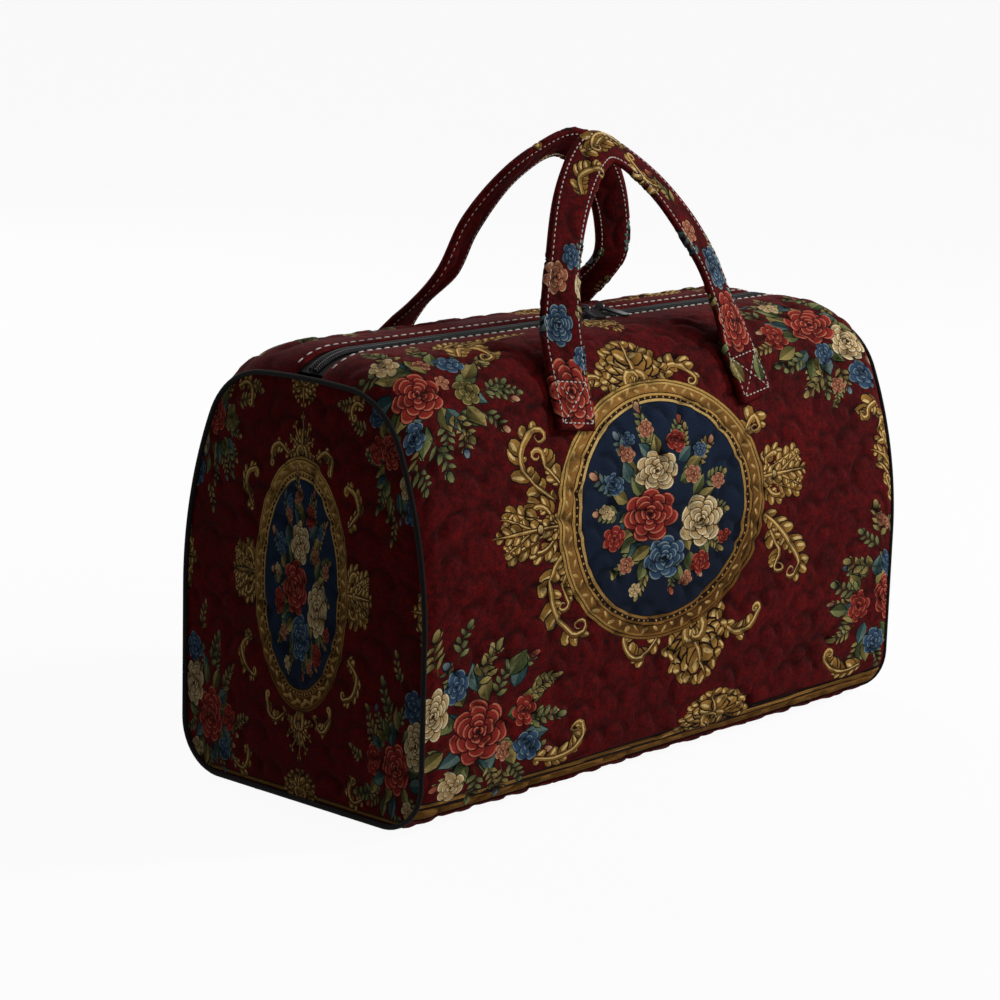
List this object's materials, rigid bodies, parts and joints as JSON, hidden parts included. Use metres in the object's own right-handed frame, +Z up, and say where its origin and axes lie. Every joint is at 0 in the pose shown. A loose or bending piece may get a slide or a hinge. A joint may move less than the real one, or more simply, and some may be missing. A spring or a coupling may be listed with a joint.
{
  "type": "travel bag",
  "caption": "Soft duffel with an arched top, long coil zip, corded end seams, two carrying straps and a medallion print on quilted cloth.",
  "frame": {"origin": "middle of the base, on the floor", "axes": "+Z up, X along the zip, the front with the sliders' pulls lying over it faces -Y"},
  "size_m": [0.52, 0.23, 0.4394],
  "materials": {
    "quilted_cloth": "matte printed woven polyester, quilted",
    "strap_cloth": "matte printed woven polyester, doubled",
    "print_gold": "printed colour on cloth",
    "print_navy": "printed colour on cloth",
    "print_red": "printed colour on cloth",
    "print_cream": "printed colour on cloth",
    "print_blue": "printed colour on cloth",
    "print_green": "printed colour on cloth",
    "piping_cloth": "black woven bias tape over a cord",
    "zip_tape": "black woven polyester tape",
    "zip_coil": "black nylon coil",
    "slider_enamel": "black enamelled zinc",
    "stitch_thread": "off-white polyester thread"
  },
  "bodies": {
    "bag": {"back_blue_roses": "print_blue", "back_cream_roses": "print_cream", "back_gilding": "print_gold", "back_handle": "strap_cloth", "back_leaves": "print_green", "back_navy_field": "print_navy", "back_panel": "quilted_cloth", "back_red_roses": "print_red", "back_zip_coil": "zip_coil", "back_zip_tape": "zip_tape", "base_panel": "quilted_cloth", "front_blue_roses": "print_blue", "front_cream_roses": "print_cream", "front_gilding": "print_gold", "front_handle": "strap_cloth", "front_leaves": "print_green", "front_navy_field": "print_navy", "front_panel": "quilted_cloth", "front_red_roses": "print_red", "front_zip_coil": "zip_coil", "front_zip_tape": "zip_tape", "left_blue_roses": "print_blue", "left_cream_roses": "print_cream", "left_end_panel": "quilted_cloth", "left_gilding": "print_gold", "left_leaves": "print_green", "left_navy_field": "print_navy", "left_piping": "piping_cloth", "left_red_roses": "print_red", "right_blue_roses": "print_blue", "right_cream_roses": "print_cream", "right_end_panel": "quilted_cloth", "right_gilding": "print_gold", "right_leaves": "print_green", "right_navy_field": "print_navy", "right_piping": "piping_cloth", "right_red_roses": "print_red"},
    "left_slider": {"left_slider": "slider_enamel"},
    "right_slider": {"right_slider": "slider_enamel"},
    "left_pull": {"left_pull_ring": "slider_enamel", "left_pull_tab": "slider_enamel"},
    "right_pull": {"right_pull_ring": "slider_enamel", "right_pull_tab": "slider_enamel"}
  },
  "joints": [
    {"name": "left_slider_travel", "type": "slide", "parent": "bag", "child": "left_slider", "axis": [-1, 0, 0], "range_m": [0, 0.224]},
    {"name": "right_slider_travel", "type": "slide", "parent": "bag", "child": "right_slider", "axis": [1, 0, 0], "range_m": [0, 0.17]},
    {"name": "left_pull_swing", "type": "hinge", "parent": "left_slider", "child": "left_pull", "pos_m": [0.0202, 0, 0.30898], "axis": [-1, 0, 0], "range_deg": [0, 170]},
    {"name": "right_pull_swing", "type": "hinge", "parent": "right_slider", "child": "right_pull", "pos_m": [0.0358, 0, 0.30898], "axis": [-1, 0, 0], "range_deg": [0, 170]}
  ]
}
